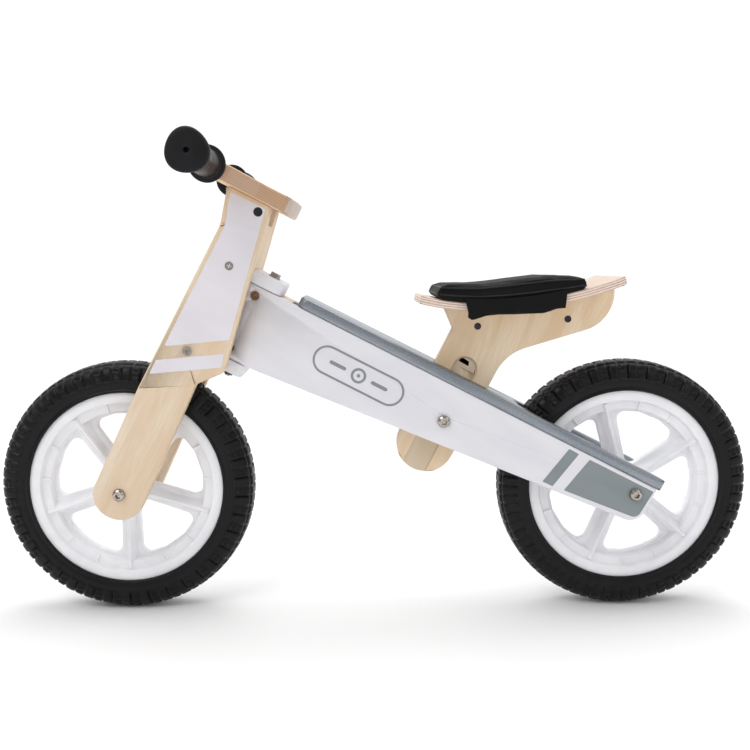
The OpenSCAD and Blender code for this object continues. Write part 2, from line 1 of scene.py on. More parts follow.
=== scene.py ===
import math
import bpy
import bmesh
from mathutils import Matrix, Vector, noise


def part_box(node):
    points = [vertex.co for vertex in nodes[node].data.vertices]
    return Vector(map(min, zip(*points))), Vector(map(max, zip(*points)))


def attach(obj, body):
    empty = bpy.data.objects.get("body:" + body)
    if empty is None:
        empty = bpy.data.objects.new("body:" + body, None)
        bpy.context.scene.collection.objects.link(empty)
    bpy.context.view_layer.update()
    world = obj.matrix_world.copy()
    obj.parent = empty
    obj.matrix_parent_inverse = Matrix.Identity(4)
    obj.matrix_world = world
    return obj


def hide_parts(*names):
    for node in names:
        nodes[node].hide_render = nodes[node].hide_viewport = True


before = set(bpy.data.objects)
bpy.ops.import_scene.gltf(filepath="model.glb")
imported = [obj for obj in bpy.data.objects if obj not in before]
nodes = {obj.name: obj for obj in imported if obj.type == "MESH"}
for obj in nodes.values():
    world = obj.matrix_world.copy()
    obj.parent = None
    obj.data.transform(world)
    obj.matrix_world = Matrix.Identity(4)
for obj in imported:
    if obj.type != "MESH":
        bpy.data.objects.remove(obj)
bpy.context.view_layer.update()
mm = 0.001
print("frame loaded")

# The bike's slope: the beams fall 27 degrees toward the rear, the steering axis leans back as much
lean = math.radians(27)
along = Vector((math.cos(lean), 0, -math.sin(lean)))
upAxis = Vector((math.sin(lean), 0, math.cos(lean)))


def slopePoint(t, y, n):
    return along * t + upAxis * n + Vector((0, y, 0))


# Helpers: colours and shader nodes

def hexColour(text):
    values = [int(text[i:i + 2], 16) / 255 for i in (1, 3, 5)]
    return [v / 12.92 if v <= 0.04045 else ((v + 0.055) / 1.055) ** 2.4 for v in values] + [1]


def addNode(tree, kind, inputs=None, **settings):
    made = tree.nodes.new("ShaderNode" + kind)
    for key, value in settings.items():
        setattr(made, key, value)
    for key, value in (inputs or {}).items():
        if isinstance(value, bpy.types.NodeSocket):
            tree.links.new(value, made.inputs[key])
        else:
            made.inputs[key].default_value = value
    return made


def startMaterial(name):
    material = bpy.data.materials.new(name)
    material.use_nodes = True
    material.node_tree.nodes.clear()
    tree = material.node_tree
    where = addNode(tree, "TexCoord")
    return material, tree, where


def finishMaterial(tree, shader, height=None, bumpMm=0.2, bumpPart=0.5):
    # height is bumpMm millimetres from its lowest to its highest
    if height is not None:
        shader["Normal"] = addNode(tree, "Bump", {
            "Strength": bumpPart, "Distance": bumpMm * mm, "Height": height,
        }).outputs[0]
    principled = addNode(tree, "BsdfPrincipled", shader)
    addNode(tree, "OutputMaterial", {"Surface": principled.outputs[0]})


def stretched(tree, where, turn, sizesMm):
    # Position measured in units of the given lengths, after turning the axes
    return addNode(tree, "Mapping", {
        "Vector": where.outputs["Object"], "Rotation": turn,
        "Scale": [s * mm for s in sizesMm],
    }, vector_type="TEXTURE").outputs[0]


def blendColours(tree, factor, first, second, kind="MIX"):
    return addNode(tree, "Mix", {0: factor, 6: first, 7: second},
                   data_type="RGBA", blend_type=kind).outputs[2]


def remap(tree, value, low, high, toLow=0.0, toHigh=1.0):
    return addNode(tree, "MapRange", {
        "Value": value, "From Min": low, "From Max": high, "To Min": toLow, "To Max": toHigh,
    }, interpolation_type="SMOOTHSTEP").outputs[0]


# Materials

plywoodLook = {
    # Lengths of each pattern along and across the grain, in millimetres
    "flameMm": (170, 22, 26), "fibreMm": (26, 1.3, 1.3), "poreMm": (5, 0.45, 0.45),
    # Where the seat board's two bends meet, its height there and their radii, in metres
    "bendX": 0.115, "bendZ": 0.3475, "bendRadii": (0.295, 0.430),
    "wander": 0.0004, "bumpMm": 0.12, "bumpPart": 0.45,
}


# Birch plywood, sanded and clear lacquered: pale faces with long soft grain, banded cut edges
def birchPlywood(name, look):
    material, tree, where = startMaterial(name)
    turn = (0, math.radians(look["grainTurn"]), 0)
    flame = addNode(tree, "TexNoise", {
        "Vector": stretched(tree, where, turn, plywoodLook["flameMm"]), "Scale": 1.0,
        "Detail": 3.0, "Distortion": 0.6,
    })
    fibre = addNode(tree, "TexNoise", {
        "Vector": stretched(tree, where, turn, plywoodLook["fibreMm"]), "Scale": 1.0,
        "Detail": 4.0, "Roughness": 0.6,
    })
    pore = addNode(tree, "TexNoise", {
        "Vector": stretched(tree, where, turn, plywoodLook["poreMm"]), "Scale": 1.0,
        "Detail": 2.0,
    })
    face = blendColours(tree, remap(tree, flame.outputs[0], 0.32, 0.68),
                        hexColour(look["pale"]), hexColour(look["deep"]))
    face = blendColours(tree, remap(tree, fibre.outputs[0], 0.35, 0.75, 0, 0.55),
                        face, hexColour(look["fibre"]))
    if look["bent"]:
        # The plies of a bent board follow its curve: distance from the centres of the two bends
        place = addNode(tree, "SeparateXYZ", {0: where.outputs["Object"]})
        rise = []
        bendX, bendZ = plywoodLook["bendX"], plywoodLook["bendZ"]
        for radius in plywoodLook["bendRadii"]:
            spot = addNode(tree, "CombineXYZ", {0: place.outputs[0], 2: place.outputs[2]})
            reach = addNode(tree, "VectorMath", {
                0: spot.outputs[0], 1: (bendX, 0, bendZ + radius),
            }, operation="DISTANCE").outputs["Value"]
            rise.append(addNode(tree, "Math", {0: radius, 1: reach},
                                operation="SUBTRACT").outputs[0])
        rear = addNode(tree, "Math", {0: place.outputs[0], 1: bendX}, operation="GREATER_THAN")
        depth = addNode(tree, "Mix", {0: rear.outputs[0], 2: rise[0], 3: rise[1]}).outputs[0]
    else:
        depth = addNode(tree, "VectorMath", {
            0: where.outputs["Object"], 1: look["through"],
        }, operation="DOT_PRODUCT").outputs["Value"]
    wander = addNode(tree, "Math", {0: fibre.outputs[0], 1: plywoodLook["wander"]},
                     operation="MULTIPLY")
    depth = addNode(tree, "Math", {0: depth, 1: wander.outputs[0]}, operation="ADD").outputs[0]
    phase = addNode(tree, "Math", {0: depth, 1: 2 * math.pi / (look["plyMm"] * 2 * mm)},
                    operation="MULTIPLY")
    band = addNode(tree, "Math", {0: phase.outputs[0]}, operation="SINE").outputs[0]
    edge = blendColours(tree, remap(tree, band, -0.5, 0.7), hexColour(look["edgePale"]),
                        hexColour(look["edgeDeep"]))
    edge = blendColours(tree, remap(tree, pore.outputs[0], 0.45, 0.8, 0, 0.45),
                        edge, hexColour(look["edgePore"]))
    facing = addNode(tree, "VectorMath", {
        0: where.outputs["Normal"], 1: look["through"],
    }, operation="DOT_PRODUCT").outputs["Value"]
    facing = addNode(tree, "Math", {0: facing}, operation="ABSOLUTE").outputs[0]
    flat = remap(tree, facing, 0.45, 0.8)
    colour = blendColours(tree, flat, edge, face)
    if look.get("endWay"):
        # Painted light: faces pointing along endWay are blended to a paler grey, as the board's
        # end faces the light while its long sides are in shade
        end = addNode(tree, "VectorMath", {
            0: where.outputs["Normal"], 1: look["endWay"],
        }, operation="DOT_PRODUCT").outputs["Value"]
        colour = blendColours(tree, remap(tree, end, 0.52, 0.62, 0, 0.8), colour,
                              hexColour(look["paintedLitEndColour"]))
    if look.get("pocketMm"):
        # The guide groove's floor is blended towards a greyer, darker colour than the lacquered
        # face
        depth = addNode(tree, "SeparateXYZ", {0: where.outputs["Object"]}).outputs[1]
        depth = addNode(tree, "Math", {0: depth}, operation="ABSOLUTE").outputs[0]
        low = addNode(tree, "Math", {0: depth, 1: look["pocketMm"] * mm}, operation="LESS_THAN")
        low = addNode(tree, "Math", {0: low.outputs[0], 1: flat}, operation="MULTIPLY")
        low = addNode(tree, "Math", {0: low.outputs[0], 1: 0.7}, operation="MULTIPLY").outputs[0]
        colour = blendColours(tree, low, colour, hexColour(look["pocketColour"]))
    grain = addNode(tree, "Math", {0: fibre.outputs[0], 1: pore.outputs[0]}, operation="ADD")
    finishMaterial(tree, {
        "Base Color": colour, "Roughness": look["roughness"], "IOR": 1.5,
        "Coat Weight": 0.12, "Coat Roughness": 0.3,
    }, grain.outputs[0], plywoodLook["bumpMm"], plywoodLook["bumpPart"])
    return material


legWood = birchPlywood("birchPlywoodLacqueredFork", {
    "pale": "#E7D7C1", "deep": "#DCC3A6", "fibre": "#D6B998", "edgePale": "#E8D2B5",
    "edgeDeep": "#DABB94", "edgePore": "#C19E74", "grainTurn": -64.65, "through": (0, 1, 0),
    "plyMm": 1.3, "roughness": 0.46, "bent": False,
})
postWood = birchPlywood("birchPlywoodLacqueredPost", {
    "pale": "#EFDCC1", "deep": "#E2C7A3", "fibre": "#DBBB93", "edgePale": "#EDD7B9",
    "edgeDeep": "#D1B087", "edgePore": "#B58F65", "grainTurn": -70, "through": (0, 1, 0),
    "plyMm": 1.4, "roughness": 0.45, "bent": False, "pocketMm": 8,
    "pocketColour": "#CBBCA6",
})
seatBoardWood = birchPlywood("birchPlywoodLacqueredSeat", {
    "pale": "#D8C6B8", "deep": "#CFB59F", "fibre": "#C8AA91", "edgePale": "#EADCD1",
    "edgeDeep": "#C5A391", "edgePore": "#A5816C", "grainTurn": 0, "through": (0, 0, 1),
    "plyMm": 1.3, "roughness": 0.45, "bent": True,
})
barWood = birchPlywood("birchPlywoodLacqueredHandlebar", {
    # The cut edges' browns, darker than on the other boards, are ply banding plus painted shade of
    # the long sides, which face away from the light
    "pale": "#E7C9A2", "deep": "#D9B58A", "fibre": "#CDA678", "edgePale": "#BE9B7C",
    "edgeDeep": "#B18D6F", "edgePore": "#937055", "grainTurn": 27, "through": tuple(upAxis),
    "plyMm": 1.2, "roughness": 0.5, "bent": False, "endWay": tuple(along),
    # Paler grey for the end faces: painted light, not a colour of the wood
    "paintedLitEndColour": "#CABDB4",
})


# Satin acrylic paint sprayed on sanded plywood: even colour, faint orange peel, soft sheen
def satinPaint(name, look):
    material, tree, where = startMaterial(name)
    peel = addNode(tree, "TexNoise", {
        "Vector": stretched(tree, where, (0, 0, 0), (1.1, 1.1, 1.1)), "Scale": 1.0, "Detail": 2.0,
    })
    cloud = addNode(tree, "TexNoise", {
        "Vector": stretched(tree, where, (0, lean, 0), (90, 30, 25)), "Scale": 1.0, "Detail": 2.0,
    })
    colour = blendColours(tree, remap(tree, cloud.outputs[0], 0.3, 0.7),
                          hexColour(look["colour"]), hexColour(look["shade"]))
    finishMaterial(tree, {
        "Base Color": colour, "IOR": 1.48,
        "Roughness": remap(tree, peel.outputs[0], 0.3, 0.7, look["gloss"], look["gloss"] + 0.08),
        "Coat Weight": look["coat"], "Coat Roughness": 0.22,
    }, peel.outputs[0], 0.05, 0.35)
    return material


whitePaint = satinPaint("whiteAcrylicPaint",
                        {"colour": "#E4E3E8", "shade": "#DDDCE2", "gloss": 0.42, "coat": 0.1})
legPaint = satinPaint("whiteAcrylicPaintLeg",
                      {"colour": "#E2DEE4", "shade": "#DCD8DE", "gloss": 0.5, "coat": 0.05})
greyPaint = satinPaint("greyAcrylicPaint",
                       {"colour": "#858D90", "shade": "#7F878A", "gloss": 0.4, "coat": 0.1})
printInk = satinPaint("greyPrintInk",
                      {"colour": "#8B8D93", "shade": "#86888E", "gloss": 0.4, "coat": 0.0})


# Aluminium-pigment lacquer sprayed on plywood: metallic flake in a clear binder, satin
def silverLacquer(name):
    material, tree, where = startMaterial(name)
    flake = addNode(tree, "TexVoronoi", {
        "Vector": stretched(tree, where, (0, 0, 0), (0.5, 0.5, 0.5)), "Scale": 1.0,
    })
    haze = addNode(tree, "TexNoise", {
        "Vector": stretched(tree, where, (0, lean, 0), (120, 12, 5)), "Scale": 1.0, "Detail": 3.0,
    })
    sparkle = addNode(tree, "SeparateColor", {0: flake.outputs["Color"]})
    colour = blendColours(tree, remap(tree, haze.outputs[0], 0.3, 0.7),
                          hexColour("#8D939A"), hexColour("#7B828A"))
    colour = blendColours(tree, remap(tree, sparkle.outputs[0], 0.6, 1.0, 0, 0.35),
                          colour, hexColour("#C3C9CF"))
    finishMaterial(tree, {
        "Base Color": colour, "Metallic": 0.72, "IOR": 1.5,
        "Roughness": remap(tree, haze.outputs[0], 0.3, 0.7, 0.34, 0.44),
        "Coat Weight": 0.25, "Coat Roughness": 0.25,
    }, sparkle.outputs[0], 0.03, 0.3)
    return material


silverPaint = silverLacquer("aluminiumPigmentLacquer")


# Injection-moulded polypropylene: slightly translucent white, fine mould texture
def mouldedPlastic(name, look):
    material, tree, where = startMaterial(name)
    grainy = addNode(tree, "TexNoise", {
        "Vector": stretched(tree, where, (0, 0, 0), (0.8, 0.8, 0.8)), "Scale": 1.0, "Detail": 3.0,
    })
    wave = addNode(tree, "TexNoise", {
        "Vector": stretched(tree, where, (0, 0, 0), (24, 24, 24)), "Scale": 1.0, "Detail": 2.0,
    })
    colour = blendColours(tree, remap(tree, wave.outputs[0], 0.3, 0.7),
                          hexColour(look["colour"]), hexColour(look["shade"]))
    finishMaterial(tree, {
        "Base Color": colour, "IOR": 1.49, "Subsurface Weight": look["glow"],
        "Subsurface Radius": (0.004, 0.004, 0.005), "Subsurface Scale": 1.0,
        "Roughness": remap(tree, grainy.outputs[0], 0.3, 0.7, look["gloss"], look["gloss"] + 0.1),
    }, addNode(tree, "Math", {0: grainy.outputs[0], 1: wave.outputs[0]},
               operation="ADD").outputs[0], 0.12, 0.4)
    return material


rimPlastic = mouldedPlastic("polypropyleneMouldedWhite",
                            {"colour": "#F3F3F6", "shade": "#EDEDF1", "gloss": 0.36, "glow": 0.06})
nylon = mouldedPlastic("nylonMouldedNatural",
                       {"colour": "#E8E6DF", "shade": "#DEDCD4", "gloss": 0.4, "glow": 0.05})
spacerPlastic = mouldedPlastic("polypropyleneMouldedBlack",
                               {"colour": "#2B2B2E", "shade": "#242427", "gloss": 0.45, "glow": 0})


# Closed-cell foam and moulded rubber: near black, matt, dusty bloom in soft patches
def darkRubber(name, look):
    material, tree, where = startMaterial(name)
    pit = addNode(tree, "TexNoise", {
        "Vector": stretched(tree, where, (0, 0, 0), (0.7, 0.7, 0.7)), "Scale": 1.0, "Detail": 4.0,
    })
    bloom = addNode(tree, "TexNoise", {
        "Vector": stretched(tree, where, (0, 0, 0), (14, 14, 14)), "Scale": 1.0, "Detail": 4.0,
    })
    colour = blendColours(tree, remap(tree, bloom.outputs[0], 0.35, 0.7),
                          hexColour(look["deep"]), hexColour(look["bloom"]))
    finishMaterial(tree, {
        "Base Color": colour, "IOR": 1.52,
        "Roughness": remap(tree, bloom.outputs[0], 0.3, 0.7, look["gloss"], look["gloss"] + 0.14),
        "Sheen Weight": look["sheen"], "Sheen Roughness": 0.5,
        "Specular IOR Level": look["specular"],
    }, pit.outputs[0], look["pitMm"], 0.5)
    return material


tyreFoam = darkRubber("evaFoamMoulded", {
    "deep": "#08080A", "bloom": "#101013", "gloss": 0.3, "sheen": 0.0, "pitMm": 0.14,
    "specular": 0.2,
})
gripRubber = darkRubber("thermoplasticRubberMoulded", {
    "deep": "#0E0E11", "bloom": "#151518", "gloss": 0.5, "sheen": 0.02, "pitMm": 0.14,
    "specular": 0.2,
})
# The sleeve's warm brown is a painted reflection of the wooden handlebar board beside it; its
# higher gloss is the shader's own
gripSleeveWoodReflection = darkRubber("thermoplasticRubberPolished", {
    "deep": "#241F1D", "bloom": "#2E2725", "gloss": 0.34, "sheen": 0.0, "pitMm": 0.05,
    "specular": 0.12,
})


# Steel hardware: plated or blackened, with fine turning marks
def platedSteel(name, look):
    material, tree, where = startMaterial(name)
    turned = addNode(tree, "TexNoise", {
        "Vector": stretched(tree, where, (0, 0, 0), (3, 0.3, 3)), "Scale": 1.0, "Detail": 3.0,
    })
    finishMaterial(tree, {
        "Base Color": blendColours(tree, remap(tree, turned.outputs[0], 0.3, 0.7),
                                   hexColour(look["colour"]), hexColour(look["shade"])),
        "Metallic": look["metal"],
        "Roughness": remap(tree, turned.outputs[0], 0.3, 0.7, look["gloss"], look["gloss"] + 0.1),
    }, turned.outputs[0], 0.03, 0.4)
    return material


nickel = platedSteel("steelNickelPlated",
                     {"colour": "#BBB4AC", "shade": "#968F87", "metal": 1.0, "gloss": 0.14})
zinc = platedSteel("steelZincPlated",
                   {"colour": "#ACA8A4", "shade": "#97928D", "metal": 1.0, "gloss": 0.3})
bronzed = platedSteel("steelBronzed",
                      {"colour": "#8A6A50", "shade": "#6B4F3B", "metal": 1.0, "gloss": 0.28})
blackened = platedSteel("steelBlackOxide",
                        {"colour": "#44474D", "shade": "#2C2E33", "metal": 0.8, "gloss": 0.26})


# Polyester plain weave, dyed black: threads 0.9 mm apart, drawn coarser than real so they show
def wovenPolyester(name):
    material, tree, where = startMaterial(name)
    place = addNode(tree, "SeparateXYZ", {
        0: stretched(tree, where, (0, 0, 0), (0.9, 0.9, 0.9)),
    })
    threads = []
    for axis, shift in ((0, 0.0), (1, 1.0)):
        turns = addNode(tree, "Math", {0: place.outputs[axis], 1: 2 * math.pi},
                        operation="MULTIPLY")
        threads.append(addNode(tree, "Math", {0: turns.outputs[0]}, operation="SINE").outputs[0])
    upright = addNode(tree, "Math", {0: place.outputs[2], 1: 2 * math.pi}, operation="MULTIPLY")
    threads.append(addNode(tree, "Math", {0: upright.outputs[0]}, operation="SINE").outputs[0])
    weave = addNode(tree, "Math", {0: threads[0], 1: threads[1]}, operation="MULTIPLY")
    side = addNode(tree, "Math", {0: threads[0], 1: threads[2]}, operation="MULTIPLY")
    weave = addNode(tree, "Math", {0: weave.outputs[0], 1: side.outputs[0]}, operation="ADD")
    crease = addNode(tree, "TexNoise", {
        "Vector": stretched(tree, where, (0, 0, 0), (26, 60, 9)), "Scale": 1.0, "Detail": 3.0,
    })
    colour = blendColours(tree, remap(tree, weave.outputs[0], -1, 1),
                          hexColour("#050506"), hexColour("#0C0C0E"))
    height = addNode(tree, "Math", {0: crease.outputs[0], 1: 6.0}, operation="MULTIPLY")
    height = addNode(tree, "Math", {0: height.outputs[0], 1: weave.outputs[0]}, operation="ADD")
    finishMaterial(tree, {
        "Base Color": colour, "Roughness": 0.58, "IOR": 1.45, "Specular IOR Level": 0.18,
        "Sheen Weight": 0.03, "Sheen Roughness": 0.4, "Sheen Tint": hexColour("#8A8C93"),
    }, height.outputs[0], 0.18, 0.5)
    return material


coverCloth = wovenPolyester("polyesterPlainWeave")
threadCloth = darkRubber("polyesterThread", {
    "deep": "#0B0B0D", "bloom": "#131316", "gloss": 0.6, "sheen": 0.1, "pitMm": 0.2,
    "specular": 0.4,
})
print("materials made")


# Helpers: meshes

def meshObject(name, points, faces, body, material, scale=mm):
    mesh = bpy.data.meshes.new(name)
    mesh.from_pydata([Vector(p) * scale for p in points], [], faces)
    mesh.materials.append(material)
    made = bpy.data.objects.new(name, mesh)
    bpy.context.scene.collection.objects.link(made)
    tidy = bmesh.new()
    tidy.from_mesh(mesh)
    bmesh.ops.remove_doubles(tidy, verts=tidy.verts, dist=1e-6)
    bmesh.ops.recalc_face_normals(tidy, faces=tidy.faces)
    tidy.to_mesh(mesh)
    tidy.free()
    mesh.shade_smooth()
    mesh.set_sharp_from_angle(angle=math.radians(38))
    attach(made, body)
    return made


def applyModifiers(made):
    graph = bpy.context.evaluated_depsgraph_get()
    mesh = bpy.data.meshes.new_from_object(made.evaluated_get(graph))
    made.modifiers.clear()
    made.data = mesh
    return made


def softened(node, name, body, material, radius, segments=3):
    # A copy of a CAD piece with its long edges rounded over; small holes stay crisp
    made = bpy.data.objects.new(name, nodes[node].data.copy())
    bpy.context.scene.collection.objects.link(made)
    shape = bmesh.new()
    shape.from_mesh(made.data)
    weights = shape.edges.layers.float.new("bevel_weight_edge")
    bmesh.ops.remove_doubles(shape, verts=shape.verts, dist=2e-6)
    corner, bend = math.radians(35), math.radians(0.6)
    angles = {e: e.calc_face_angle(0) if len(e.link_faces) == 2 else 0 for e in shape.edges}
    sharp = [e for e in shape.edges if angles[e] > corner]
    # Group the sharp edges into loops, so that those of small holes can be left alone
    group = {v: v for e in sharp for v in e.verts}

    def root(v):
        while group[v] is not v:
            v = group[v]
        return v

    for e in sharp:
        a, b = root(e.verts[0]), root(e.verts[1])
        group[a] = b
    size = {}
    for v in group:
        low, high = size.get(root(v), (v.co.copy(), v.co.copy()))
        size[root(v)] = (Vector(map(min, low, v.co)), Vector(map(max, high, v.co)))
    for e in sharp:
        low, high = size[root(e.verts[0])]
        if (high - low).length > 25 * mm:
            e[weights] = 1.0
    # Slot 1 marks flat faces, which stay flat shaded, and slot 2 the rounding
    for face in shape.faces:
        face.material_index = 0 if any(bend < angles[e] <= corner for e in face.edges) else 1
    shape.to_mesh(made.data)
    shape.free()
    made.data.materials.clear()
    for slotNumber in range(3):
        made.data.materials.append(material)
    rounding = made.modifiers.new("roundOver", "BEVEL")
    rounding.width, rounding.segments, rounding.limit_method = radius * mm, segments, "WEIGHT"
    rounding.use_clamp_overlap, rounding.material = False, 2
    applyModifiers(made)
    for face in made.data.polygons:
        face.use_smooth = face.material_index != 1
        face.material_index = 0
    made.data.materials.pop()
    made.data.materials.pop()
    made.data.set_sharp_from_angle(angle=corner)
    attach(made, body)
    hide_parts(node)
    return made


def prism(name, outline, low, high, place, body, material):
    # outline holds [a, b] pairs; place turns (a, b, height) into a point in millimetres
    count = len(outline)
    points = [place(a, b, h) for h in (low, high) for a, b in outline]
    faces = [list(range(count)), list(range(count, 2 * count))]
    faces += [[i, (i + 1) % count, count + (i + 1) % count, count + i] for i in range(count)]
    return meshObject(name, points, faces, body, material)


def roundedOutline(corners, steps=6):
    # corners are [x, y, radius]; a zero radius stays sharp
    out = []
    for i, (x, y, r) in enumerate(corners):
        here = Vector((x, y))
        back = (Vector(corners[i - 1][:2]) - here).normalized()
        ahead = (Vector(corners[(i + 1) % len(corners)][:2]) - here).normalized()
        if r == 0:
            out.append((x, y))
            continue
        half = back.angle(ahead) / 2
        centre = here + (back + ahead).normalized() * r / math.sin(half)
        first = here + back * r / math.tan(half) - centre
        last = here + ahead * r / math.tan(half) - centre
        turn = math.atan2(first.x * last.y - first.y * last.x, first.dot(last))
        start = math.atan2(first.y, first.x)
        out += [(centre.x + r * math.cos(start + turn * k / steps),
                 centre.y + r * math.sin(start + turn * k / steps)) for k in range(steps + 1)]
    return out


def repaint(material, *names):
    for name in names:
        nodes[name].data.materials.clear()
        nodes[name].data.materials.append(material)


# Frame: beams, silver board, head

frameLook = {
    "beamRound": 1.8, "boardRound": 2.4, "ink": 0.14, "badgeRadius": 16.4, "badgeStroke": 2.4,
    "badgeFront": (-54.4, 293.4), "badgeRear": (14.1, 258.6), "inkFoot": -0.4,
    "wheelOuter": 8.6, "wheelInner": 5.8, "hub": 2.0, "barOffset": 25.5, "barHalf": (10, 2),
    "barCorner": 1.9, "splay": 30 / 460, "headHalf": 33, "headX": -140,
    "smallPatch": [(212.3, 195.7, 1), (223.1, 189.9, 1), (195.0, 153.3, 1), (183.6, 158.5, 1)],
    "largePatch": [(234.9, 183.7, 1), (305.7, 148.0, 1), (288.6, 117.5, 8), (207.4, 148.8, 1)],
}


def beamHalf(x):
    # Half width over the splayed beams at station x
    return frameLook["headHalf"] + (x - frameLook["headX"]) * frameLook["splay"]


for side, word in ((-1, "Left"), (1, "Right")):
    softened("beam_" + word.lower(), "beamPlank" + word, "frame", whitePaint,
             frameLook["beamRound"])

    def onBeam(x, z, lift, side=side):
        return (x, side * (beamHalf(x) + lift), z)

    for patch in ("smallPatch", "largePatch"):
        prism(patch + word, roundedOutline(frameLook[patch]), -0.5, frameLook["ink"], onBeam,
              "frame", greyPaint)

    # Badge: a stadium ring with a small wheel and two bars inside, all plain shapes
    front, rear = Vector(frameLook["badgeFront"]), Vector(frameLook["badgeRear"])
    way = (rear - front).normalized()
    across = Vector((-way.y, way.x))
    lead = math.atan2(way.y, way.x)

    def stadium(radius, steps=20):
        ring = []
        for centre, start in ((front, lead + math.pi / 2), (rear, lead - math.pi / 2)):
            ring += [(centre.x + radius * math.cos(start + math.pi * k / steps),
                      centre.y + radius * math.sin(start + math.pi * k / steps))
                     for k in range(steps + 1)]
        return ring

    def inkRing(name, outer, inner):
        count = len(outer)
        points = [onBeam(a, b, h) for h in (frameLook["inkFoot"], frameLook["ink"])
                  for a, b in outer + inner]
        faces = []
        top = 2 * count
        for i in range(count):
            j = (i + 1) % count
            faces += [[top + i, top + j, top + count + j, top + count + i],
                      [i, j, top + j, top + i],
                      [count + i, count + j, top + count + j, top + count + i],
                      [i, j, count + j, count + i]]
        return meshObject(name, points, faces, "frame", printInk)

    inkRing("badgeRing" + word, stadium(frameLook["badgeRadius"]),
            stadium(frameLook["badgeRadius"] - frameLook["badgeStroke"]))
    middle = (front + rear) / 2

    def circle(radius):
        return [(middle.x + radius * math.cos(k * math.pi / 20),
                 middle.y + radius * math.sin(k * math.pi / 20)) for k in range(40)]

    inkRing("badgeWheel" + word, circle(frameLook["wheelOuter"]),
            circle(frameLook["wheelInner"]))
    prism("badgeHub" + word, circle(frameLook["hub"]), frameLook["inkFoot"],
          frameLook["ink"], onBeam, "frame", printInk)
    for end, tag in ((-1, "Front"), (1, "Rear")):
        spot = middle + way * end * frameLook["barOffset"]
        long, wide = frameLook["barHalf"]
        corners = [spot + way * a + across * b
                   for a, b in ((-long, -wide), (long, -wide), (long, wide), (-long, wide))]
        prism("badgeBar" + tag + word,
              roundedOutline([(c.x, c.y, frameLook["barCorner"]) for c in corners]),
              frameLook["inkFoot"], frameLook["ink"], onBeam, "frame", printInk)

softened("top_board", "topBoardLacquered", "frame", silverPaint,
         frameLook["boardRound"])
repaint(legWood, "head_block", "board_dowels")
repaint(postWood, "guide_block_left", "guide_block_right")
repaint(nylon, "head_bushes")
repaint(bronzed, "head_screws")
repaint(nickel, "seat_clamp_bolt", "seat_clamp_nut", "rear_axle_bolt", "rear_axle_nut")
repaint(spacerPlastic, "rear_spacers", "front_spacers")
print("frame built")


# Fork and brackets

forkLook = {
    "legRound": 1.7, "bracketRound": 1.6, "outerFace": 50, "film": 0.14,
    "upperPanel": [(-155.6, 475.0, 2), (-118.3, 456.9, 2), (-160.2, 317.0, 1.5),
                   (-230.9, 310.4, 1.5), (-161.6, 439.6, 36)],
    "lowerPanel": [(-240.3, 295.3, 1), (-166.4, 301.9, 1), (-169.2, 286.9, 1),
                   (-247.9, 280.1, 1)],
    # Centre of the barrel nut in the bike's slope, and the hexagon's half width over corners
    "nutCentre": (-318.6, 346.8), "nutSocket": 2.5, "nutRise": 0.2, "buried": -0.6,
}
for side, word in ((-1, "Left"), (1, "Right")):
    softened("fork_leg_" + word.lower(), "forkLeg" + word, "steerer", legWood,
             forkLook["legRound"])

    def onLeg(x, z, lift, side=side):
        return (x, side * (forkLook["outerFace"] + lift), z)

    for panel in ("upperPanel", "lowerPanel"):
        prism(panel + word, roundedOutline(forkLook[panel], 10), forkLook["buried"],
              forkLook["film"], onLeg, "steerer", legPaint)
    # A black hexagon laid over the panel at the barrel nut shows its socket
    nutPlace = slopePoint(forkLook["nutCentre"][0], 0, forkLook["nutCentre"][1])
    hexagon = [(nutPlace.x + forkLook["nutSocket"] * math.cos(k * math.pi / 3),
                nutPlace.z + forkLook["nutSocket"] * math.sin(k * math.pi / 3))
               for k in range(6)]
    prism("nutSocket" + word, hexagon, forkLook["buried"], forkLook["nutRise"], onLeg,
          "steerer", blackened)
for word in ("upper", "lower"):
    softened(word + "_bracket", word + "BracketPlate", "steerer", whitePaint,
             forkLook["bracketRound"])
for word in ("upper", "middle", "lower"):
    softened("fork_block_" + word, word + "ForkBlock", "steerer", legWood, 0.8, 2)
repaint(zinc, "steering_bolt", "steering_washers", "fork_screws", "handlebar_rod")
repaint(blackened, "steering_nut", "handlebar_bolts", "handlebar_nuts")
repaint(nickel, "front_axle_bolt", "front_axle_nut")
print("fork built")


# Handlebar and grips

gripLook = {
    # distance from the board, radius, how strongly the three lobes show
    "profile": [
        (0.0, 17.6, 0), (0.4, 18.6, 0), (1.4, 19.2, 0), (3.8, 19.2, 0), (4.9, 18.5, 0),
        (5.3, 17.0, 0), (5.5, 15.4, 0), (6.6, 14.4, 0), (9.0, 14.0, 0), (40, 13.9, 0),
        (80.0, 14.0, 0), (84.5, 14.6, 0.1), (87.5, 16.0, 0.3), (90.5, 17.9, 0.6),
        (93.5, 19.4, 0.9), (96.5, 20.2, 1), (100.0, 20.5, 1), (102.6, 20.5, 1),
        (104.3, 20.0, 1), (105.4, 19.0, 1), (106.0, 17.6, 1), (106.35, 15.0, 0.9),
        (106.5, 10.0, 0.6), (106.5, 4.6, 0.2), (106.2, 3.0, 0), (105.2, 2.4, 0),
        (99.0, 2.2, 0), (98.9, 0.05, 0),
    ],
    "lobe": 0.8, "lobeTurn": 98, "around": 72, "start": 84.4, "sleeve": (6, 82),
    "boardRound": 2.6,
}
softened("handlebar_board", "handlebarPlank", "steerer", barWood,
         gripLook["boardRound"], 4)
